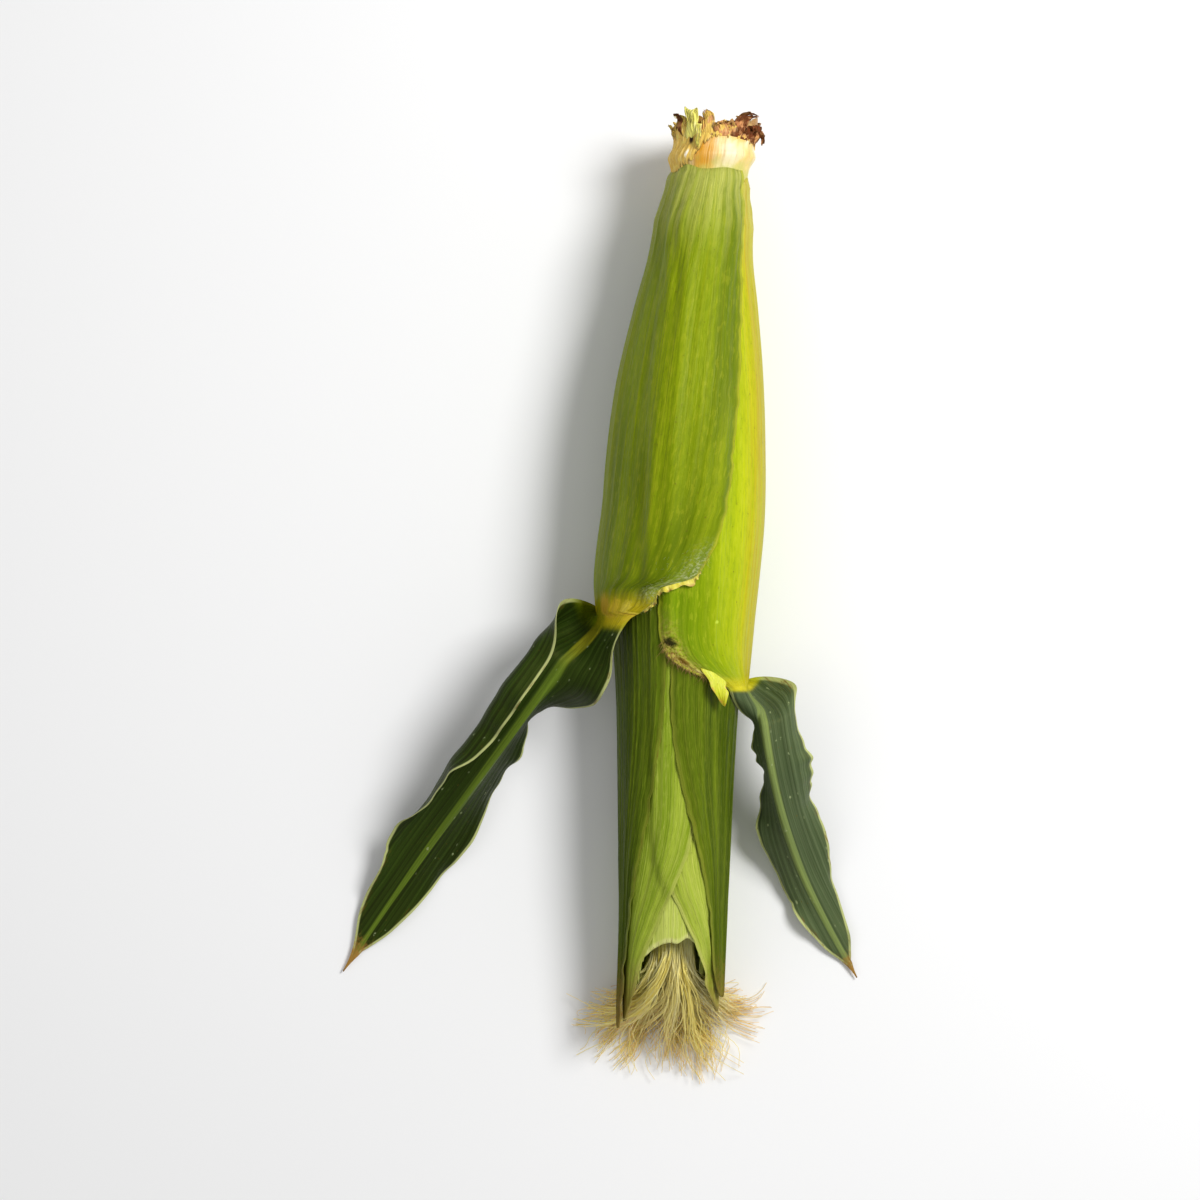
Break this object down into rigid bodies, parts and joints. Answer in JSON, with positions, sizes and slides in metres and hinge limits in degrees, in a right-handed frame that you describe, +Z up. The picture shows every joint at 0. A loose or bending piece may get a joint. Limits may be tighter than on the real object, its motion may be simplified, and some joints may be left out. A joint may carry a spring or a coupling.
{
  "type": "ear of corn in its husk",
  "caption": "Freshly picked ear of sweet corn lying in its green husk, with a snapped shank, two leaf blades and yellow silk at the tip.",
  "frame": {"origin": "middle of the bounding box in plan, on the surface that the ear lies on", "axes": "+Y along the ear towards the snapped shank, -Y towards the silk; +Z up; +X to the side of the shorter leaf blade"},
  "size_m": [0.1644, 0.3097, 0.0534],
  "materials": {
    "shank": "fresh pale stalk, cream white to yellow, ragged where it was snapped",
    "torn_sheath": "torn, half-dried sheath, straw to dark brown, matt",
    "inner_husk": "pale yellow-green husk with fine lengthwise veins, satin",
    "husk_leaf": "mid-green husk with lengthwise veins, satin",
    "flag_leaf": "green sheath that turns into a darker green blade with a pale midrib, satin",
    "silk": "moist yellow strands, brown at the tips"
  },
  "bodies": {
    "root": {"shank": "shank", "torn_sheath": "torn_sheath", "inner_husk": "inner_husk", "husk_leaf_1": "husk_leaf", "husk_leaf_2": "husk_leaf", "husk_leaf_3": "husk_leaf", "husk_leaf_4": "husk_leaf", "husk_leaf_5": "husk_leaf", "flag_leaf_right": "flag_leaf", "flag_leaf_left": "flag_leaf", "silk": "silk"}
  },
  "joints": []
}
